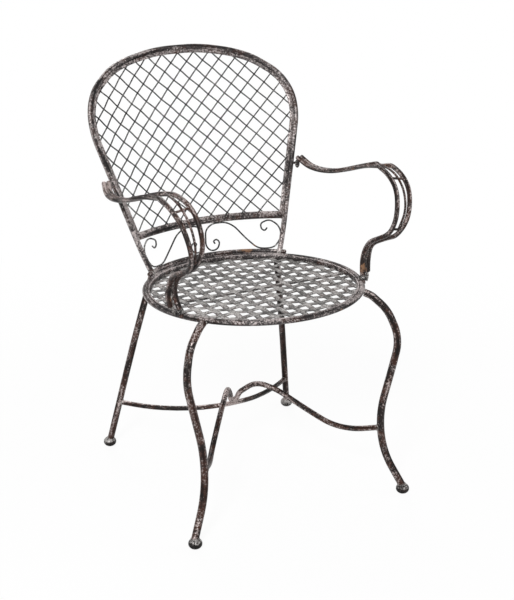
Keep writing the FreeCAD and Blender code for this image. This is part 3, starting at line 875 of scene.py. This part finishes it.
for end, route, rod in (("front", across_middle(FRONT_STRETCHER), FRONT_STRETCHER_ROD),
                        ("rear", REAR_STRETCHER, REAR_STRETCHER_ROD)):
    stretcher = long_rod([place(point) for point in route], rod)
    stretcher.named("stretcher_%s_rod" % end, leg_finish, "frame", ["stretcher_" + end])


# Arms

def arm_reach(point):
    """The thick rods are hammered fuller where they run down to the seat."""
    down = min(1.0, max(0.0, (0.575 - point.z) / 0.04))
    return (ARM_ROD + ARM_FULLER * down * down * (3 - 2 * down)) / 1000


for side, word in SIDES:
    for part, route, rod, tips in (("outer", ARM_OUTER, arm_reach, 0.6), ("inner", ARM_INNER, arm_reach, 0.6),
                                   ("middle", ARM_MIDDLE, ARM_THIN_ROD, 0.9)):
        arm = long_rod([place(point, side) for point in route], rod, 20, tips, passes=8)
        arm.named("arm_%s_bent_rod_%s" % (part, word), arm_finish, "frame", ["arm_rod_%s_%s" % (part, word)])
    for name, node, route, rod, sides in (("arm_tie_lower_", "arm_link_lower_", LOWER_TIE, ARM_LINK_ROD, 12),
                                          ("arm_tie_upper_", "arm_link_upper_", UPPER_TIE, ARM_LINK_ROD, 12),
                                          ("arm_stub_", "arm_pin_", ARM_PIN, ARM_PIN_ROD, 16)):
        short = long_rod([place(point, side) for point in route], rod, sides)
        short.named(name + word, arm_finish, "fittings", [node + word])
    knob_outline = []
    for number in range(13):
        latitude = math.radians(-78 + 13 * number)
        knob_outline.append((ARM_PIN_BALL * math.cos(latitude), ARM_PIN_RISE * math.sin(latitude)))
    knob = turned(knob_outline, place(KNOB, side), 20)
    knob.named("arm_knob_" + word, foot_finish, "fittings", ["arm_pin_ball_" + word])


# Nut and washer at the foot of each inner arm rod

def on_collar(side, reach, turn, height):
    """A point round the collar's axis, by distance, turn and height above its foot."""
    foot = place(ARM_INNER[-1], side)
    run = (place(ARM_INNER[-2], side) - foot).normalized()
    first = run.orthogonal().normalized()
    second = run.cross(first)
    return foot + run * (height / 1000) + spoke(first, second, turn) * (reach / 1000)


def nut_rings(side, low, high):
    """A hexagon nut with its corners turned off at both faces."""
    rings = []
    for height, keep in ((low, 0.90), (low + NUT_EASE, 1.0), (high - NUT_EASE, 1.0), (high, 0.90)):
        ring = []
        for turn in turns(36):
            flat = NUT_FLAT / math.cos((turn + math.pi / 6) % (math.pi / 3) - math.pi / 6)
            ring.append(on_collar(side, min(flat, NUT_CORNER * keep), turn, height))
        rings.append(ring)
    return rings


for side, word in SIDES:
    nut = Blank()
    nut.skin(nut_rings(side, NUT_FOOT, NUT_TOP))
    nut.named("collar_nut_hexagon_" + word, foot_finish, "fittings", ["collar_nut_" + word], sharp=30)
    washer = Blank()
    washer.skin([[on_collar(side, reach, turn, height) for turn in turns(36)] for reach, height in WASHER])
    washer.named("collar_washer_disc_" + word, foot_finish, "fittings", ["collar_washer_" + word], sharp=30)


# Welds

welds = Blank()
both = [rim_tree, rail_tree]
for side in (1, -1):
    top = [place(point, side) for point in FRONT_LEG[:3]]
    weld_round(welds, top[1].lerp(top[2], 0.25), top[0], FRONT_LEG_TUBE / 1000, both, LEG_BEAD, 1.1)
    top = [place(point, side) for point in REAR_LEG[:2]]
    weld_round(welds, top[0].lerp(top[1], 0.12), top[0], REAR_LEG_TUBE / 1000, both, LEG_BEAD, 2.3)
    foot = [place(point, side) for point in HOOP[:2]]
    weld_round(welds, foot[0].lerp(foot[1], 0.3), foot[0], HOOP_TUBE / 1000, both, TUBE_BEAD, 3.7)
    bar = crossbar_line if side > 0 else crossbar_line[::-1]
    weld_round(welds, bar[3], bar[0], CROSSBAR_TUBE / 1000, [hoop_tree], SMALL_BEAD, 4.9)
    for end, route, tube in LEGS:
        ankle = [place(point, side) for point in route[-2:]]
        above = ankle[1] + (ankle[0] - ankle[1]).normalized() * 0.03
        weld_round(welds, above, ankle[1], tube / 1000, [foot_trees[end, side]], SMALL_BEAD, 6.1)
    joint = [place(point, side) for point in FRONT_STRETCHER[:2]]
    weld_round(welds, joint[0].lerp(joint[1], 0.45), joint[0], FRONT_STRETCHER_ROD / 1000,
               [leg_trees["front", side]], TUBE_BEAD, 7.3)
    joint = [place(point) for point in (REAR_STRETCHER[:2] if side > 0 else REAR_STRETCHER[:-3:-1])]
    weld_round(welds, joint[0].lerp(joint[1], 0.45), joint[0], REAR_STRETCHER_ROD / 1000,
               [leg_trees["rear", side]], TUBE_BEAD, 8.9)
    for seam, seed in ((ARM_SEAM, 9.7), (ARM_OUTER[-1:] + ARM_TOE, 11.2)):
        welds.bead([place(point, side) for point in seam], SEAM_BEAD, seed=seed)
welds.named("weld_beads", weld_finish, "frame")

# Short tack welds at the ends of the strips and of the mesh wires
tacks = Blank()
tack_reach = inner - 0.4
for positions, across in ((across_positions, True), (lengthwise_positions, False)):
    for position in positions:
        reach = math.sqrt(tack_reach ** 2 - position * position)
        for end in (reach, -reach):
            line = []
            for step in range(-3, 4):
                spot = position + step * 1.9
                along = math.copysign(math.sqrt(max(100.0, tack_reach ** 2 - spot * spot)), end)
                line.append(on_seat(along, spot, STRIP_LEVEL + 1.2) if across
                            else on_seat(spot, along, STRIP_LEVEL + 1.2))
            tacks.bead(line, STRIP_TACK, seed=position + end)
for spot, toward in wire_ends:
    run = (toward - spot).normalized()
    tacks.bead([spot + run * 0.001, spot + run * 0.0042], WIRE_TACK, seed=spot.x * 90)
tacks.named("tack_welds", weld_finish, "frame")


# Floor, backdrop and light

def white_stage(name):
    """White to the camera and in reflections, with the chair's shadow kept faint."""
    finish, start = bare_finish(name)
    seen = start.node("ShaderNodeLightPath", output="Is Camera Ray")
    mirrored = start.node("ShaderNodeLightPath", output="Is Glossy Ray")
    through = start.node("ShaderNodeLightPath", output="Is Transmission Ray")
    shown = seen.maths("MAXIMUM", seen, mirrored.maths("MAXIMUM", mirrored, through))
    matt = start.node("ShaderNodeBsdfDiffuse", inputs={"Color": (0.9, 0.9, 0.9, 1)})
    grey = start.node("ShaderNodeBsdfDiffuse", inputs={"Color": (0.45, 0.45, 0.45, 1)})
    white = start.node("ShaderNodeEmission", inputs={"Color": (1, 1, 1, 1), "Strength": 1.0})
    where = start.node("ShaderNodeTexCoord", output="Object")
    away = start.node("ShaderNodeVectorMath", output="Value", inputs={0: where}, operation="LENGTH")
    lit = start.node("ShaderNodeMixShader", inputs={0: 0.94 + away.step(0.5, 1.6) * 0.06, 1: matt, 2: white})
    both = start.node("ShaderNodeMixShader", inputs={0: shown, 1: grey, 2: lit})
    start.node("ShaderNodeOutputMaterial", inputs={"Surface": both})
    return finish


FLOOR_HALF = 14
floor_mesh = bpy.data.meshes.new("studio_floor")
floor_mesh.from_pydata([(FLOOR_HALF * x, FLOOR_HALF * y, 0) for x, y in ((-1, -1), (1, -1), (1, 1), (-1, 1))],
                       [], [(0, 1, 2, 3)])
floor_mesh.materials.append(white_stage("studio_white"))
floor = bpy.data.objects.new("studio_floor", floor_mesh)
bpy.context.scene.collection.objects.link(floor)

world = bpy.data.worlds.new("studio")
bpy.context.scene.world = world
world.use_nodes = True
world.node_tree.nodes.clear()
sky = Flow(world.node_tree)
seen = sky.node("ShaderNodeLightPath", output="Is Camera Ray")
room = sky.node("ShaderNodeBackground", inputs={"Color": (1, 1, 1, 1), "Strength": 0.28})
white = sky.node("ShaderNodeBackground", inputs={"Color": (1, 1, 1, 1), "Strength": 1.0})
sky.node("ShaderNodeOutputWorld", inputs={
    "Surface": sky.node("ShaderNodeMixShader", inputs={0: seen, 1: room, 2: white})})


def soft_box(name, where, size, power):
    """A square lamp that points at the chair's middle."""
    lamp = bpy.data.lights.new(name, "AREA")
    lamp.shape = "SQUARE"
    lamp.size = size
    lamp.energy = power
    box = bpy.data.objects.new(name, lamp)
    box.location = where
    box.rotation_euler = (LAMP_AIM - Vector(where)).to_track_quat("-Z", "Y").to_euler()
    bpy.context.scene.collection.objects.link(box)


LAMP_AIM = Vector((0, 0, 0.45))
for lamp in (("key_light", (-2.2, -2.6, 2.9), 0.9, 130), ("fill_light", (2.9, -1.7, 1.8), 1.4, 22),
             ("back_light", (0.6, 2.8, 2.6), 1.4, 45)):
    soft_box(*lamp)

# Camera at the photograph's place; its middle ray passes over the seat's middle at this height.
CAMERA_HEIGHT = 0.41709
CAMERA_DISTANCE = 2.81905
back_way = Vector((-0.42861, -0.83007, 0.35674))
right_way = Vector((0.88855, -0.45880, 0.0))
up_way = back_way.cross(right_way)
lens = bpy.data.cameras.new("camera")
lens.sensor_width = 36.0
lens.lens = 79.305
lens.shift_x = 0.00563
lens.clip_end = 50.0
eye = bpy.data.objects.new("camera", lens)
stand = Vector((0, SEAT_Y / 1000, CAMERA_HEIGHT)) + back_way * CAMERA_DISTANCE
eye.matrix_world = Matrix((
    (right_way.x, up_way.x, back_way.x, stand.x),
    (right_way.y, up_way.y, back_way.y, stand.y),
    (right_way.z, up_way.z, back_way.z, stand.z),
    (0, 0, 0, 1)))
bpy.context.scene.collection.objects.link(eye)
bpy.context.scene.camera = eye
bpy.context.scene.view_settings.view_transform = "Standard"
